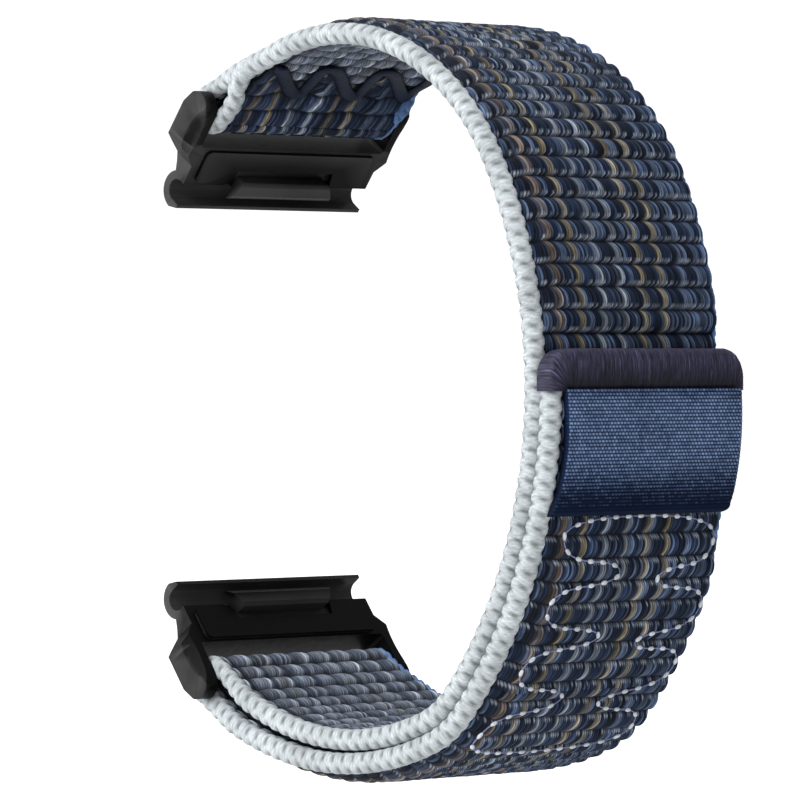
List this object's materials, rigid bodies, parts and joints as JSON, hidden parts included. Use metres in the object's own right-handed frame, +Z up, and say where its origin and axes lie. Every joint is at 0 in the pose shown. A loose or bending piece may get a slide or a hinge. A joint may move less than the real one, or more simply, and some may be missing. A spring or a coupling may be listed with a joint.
{
  "type": "fitness tracker band",
  "caption": "Woven hook-and-loop band for a wrist tracker: a strap bent in an open loop, with a peel-back tail, a pull tab and a quick-release claw connector at each end",
  "frame": {"origin": "axis of the upper claw bore, at the middle of its width", "axes": "+X from the tracker side to the clasp side of the loop, +Y across the strap towards the thin blue edge, +Z up the long way of the loop"},
  "size_m": [0.0516, 0.025, 0.0659],
  "materials": {
    "black_frame": "satin black coating over metal",
    "black_cover": "satin black coating, fine grain",
    "black_latch": "satin black coating, worn on its edges",
    "steel_pins": "ground steel pin",
    "spring_steel": "spring wire",
    "navy_weave": "navy nylon weave with grey and gold warp floats",
    "inner_weave": "blue-grey loop pile side of the weave",
    "white_cord": "braided white edge cord",
    "blue_edge": "thin bright blue edging",
    "seam_weld": "dark navy pressed and stitched seam",
    "hook_nylon": "royal blue nylon hook tape",
    "purple_binding": "satin stitched end binding, purple-black",
    "navy_ribbon": "ribbed navy grosgrain ribbon"
  },
  "bodies": {
    "upper_connector": {"upper_claw_body": "black_frame", "upper_side_arms": "black_frame", "upper_cover": "black_cover", "upper_cover_pins": "steel_pins", "upper_strap_bar": "steel_pins", "upper_latch_springs": "spring_steel"},
    "upper_latch": {"upper_latch": "black_latch"},
    "strap": {"upper_fold": "navy_weave", "lower_fold": "navy_weave", "fold_flap": "inner_weave", "flap_wave_seam": "seam_weld", "strap_weave": "navy_weave", "strap_white_cord": "white_cord", "strap_blue_edge": "blue_edge"},
    "lower_connector": {"lower_claw_body": "black_frame", "lower_side_arms": "black_frame", "lower_cover": "black_cover", "lower_cover_pins": "steel_pins", "lower_strap_bar": "steel_pins", "lower_latch_springs": "spring_steel"},
    "lower_latch": {"lower_latch": "black_latch"},
    "tail": {"tail_weave": "navy_weave", "tail_white_cord": "white_cord", "tail_blue_edge": "blue_edge", "hook_patch": "hook_nylon"},
    "tail_tip": {"tip_weave": "navy_weave", "tip_white_cord": "white_cord", "tip_blue_edge": "blue_edge", "end_binding": "purple_binding"},
    "pull_tab": {"pull_tab_ribbon": "navy_ribbon"}
  },
  "joints": [
    {"name": "upper_latch_slide", "type": "slide", "parent": "upper_connector", "child": "upper_latch", "axis": [0.6018, 0, 0.7986], "range_m": [0, 0.0007], "stiffness_N_per_m": 800, "springref_m": -0.001, "deforming": ["upper_latch_springs"]},
    {"name": "upper_swivel", "type": "hinge", "parent": "upper_connector", "child": "strap", "pos_m": [0.00412, 0, 0.00729], "axis": [0, 1, 0], "range_deg": [-15, 15]},
    {"name": "lower_swivel", "type": "hinge", "parent": "strap", "child": "lower_connector", "pos_m": [0.00412, 0, -0.04446], "axis": [0, 1, 0], "range_deg": [-15, 15]},
    {"name": "lower_latch_slide", "type": "slide", "parent": "lower_connector", "child": "lower_latch", "axis": [0.6018, 0, -0.7986], "range_m": [0, 0.0007], "stiffness_N_per_m": 800, "springref_m": -0.001, "deforming": ["lower_latch_springs"]},
    {"name": "tail_peel", "type": "hinge", "parent": "strap", "child": "tail", "pos_m": [0.00485, 0, -0.04774], "axis": [0, 1, 0], "range_deg": [0, 35]},
    {"name": "tip_lift", "type": "hinge", "parent": "tail", "child": "tail_tip", "pos_m": [0.04722, 0, -0.02976], "axis": [0, 1, 0], "range_deg": [0, 60]},
    {"name": "pull_tab_lift", "type": "hinge", "parent": "tail_tip", "child": "pull_tab", "pos_m": [0.04979, 0, -0.01816], "axis": [0, -1, 0], "range_deg": [0, 90]}
  ]
}
